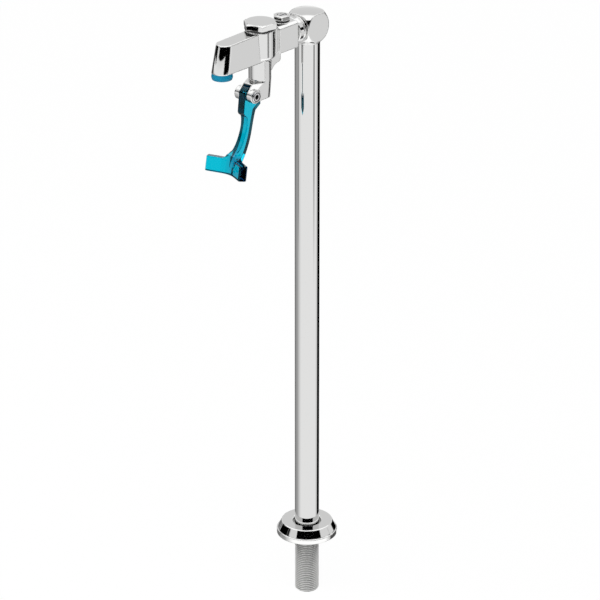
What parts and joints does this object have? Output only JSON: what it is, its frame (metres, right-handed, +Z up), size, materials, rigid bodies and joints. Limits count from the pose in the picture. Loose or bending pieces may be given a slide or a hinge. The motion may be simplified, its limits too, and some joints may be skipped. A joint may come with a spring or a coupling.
{
  "type": "glass filler faucet",
  "caption": "Deck-mounted glass filler faucet: tall chromed riser on a flange, elbow, valve body with drooping spout and a blue push lever that a glass presses to start the flow",
  "frame": {"origin": "on the riser's axis at the deck plane, which is the underside of the flange; the threaded shank hangs below it", "axes": "+Z up along the riser, -Y the way the arm and spout point, the lever is pushed towards +Y, X across the faucet"},
  "size_m": [0.053, 0.1386, 0.5465],
  "materials": {
    "chrome": "bright polished chrome plate over cast and turned brass",
    "satin_steel": "satin grey nickel over a cut pipe thread",
    "screw_chrome": "bright turned screw with a socket",
    "brass": "plain turned brass",
    "stainless": "turned and drawn stainless steel",
    "seal_rubber": "black seal rubber, matt",
    "bush_plastic": "natural acetal, matt",
    "blue_lever": "glossy translucent cyan blue moulding",
    "blue_tip": "glossy blue moulding, nearly opaque"
  },
  "bodies": {
    "faucet": {"base_flange": "chrome", "base_gasket": "seal_rubber", "threaded_shank": "satin_steel", "riser_tube": "chrome", "top_nipple": "brass", "riser_seal": "seal_rubber", "elbow": "chrome", "arm_nipple": "brass", "arm_collar": "chrome", "arm_seal": "seal_rubber", "valve_body": "chrome", "regulator_seal": "seal_rubber", "gland_nut": "chrome", "bonnet": "chrome", "bonnet_seal": "seal_rubber", "seat_ring": "brass", "guide_bush": "bush_plastic", "stem_seal": "seal_rubber", "gland_washer": "brass", "return_spring": "stainless", "lever_screw": "screw_chrome", "outlet_tip": "blue_tip", "flow_straightener": "bush_plastic"},
    "lever": {"lever": "blue_lever"},
    "valve_stem": {"valve_stem": "stainless", "seat_washer": "seal_rubber", "washer_retainer": "brass"},
    "flow_regulator": {"flow_regulator": "screw_chrome"}
  },
  "joints": [
    {"name": "lever_pivot", "type": "hinge", "parent": "faucet", "child": "lever", "pos_m": [0, -0.0734, 0.4314], "axis": [1, 0, 0], "range_deg": [0, 14], "stiffness_Nm_per_rad": 0.6, "springref_deg": -14.32},
    {"name": "stem_lift", "type": "slide", "parent": "faucet", "child": "valve_stem", "axis": [0, 0, 1], "range_m": [0, 0.004], "deforming": ["return_spring"]},
    {"name": "regulator_turn", "type": "hinge", "parent": "faucet", "child": "flow_regulator", "pos_m": [0, -0.0314, 0.4726], "axis": [0, 0, 1], "range_deg": [0, 90]}
  ],
  "couplings": [
    {"joint": "stem_lift", "follows": "lever_pivot", "m_per_rad": 0.0159}
  ]
}
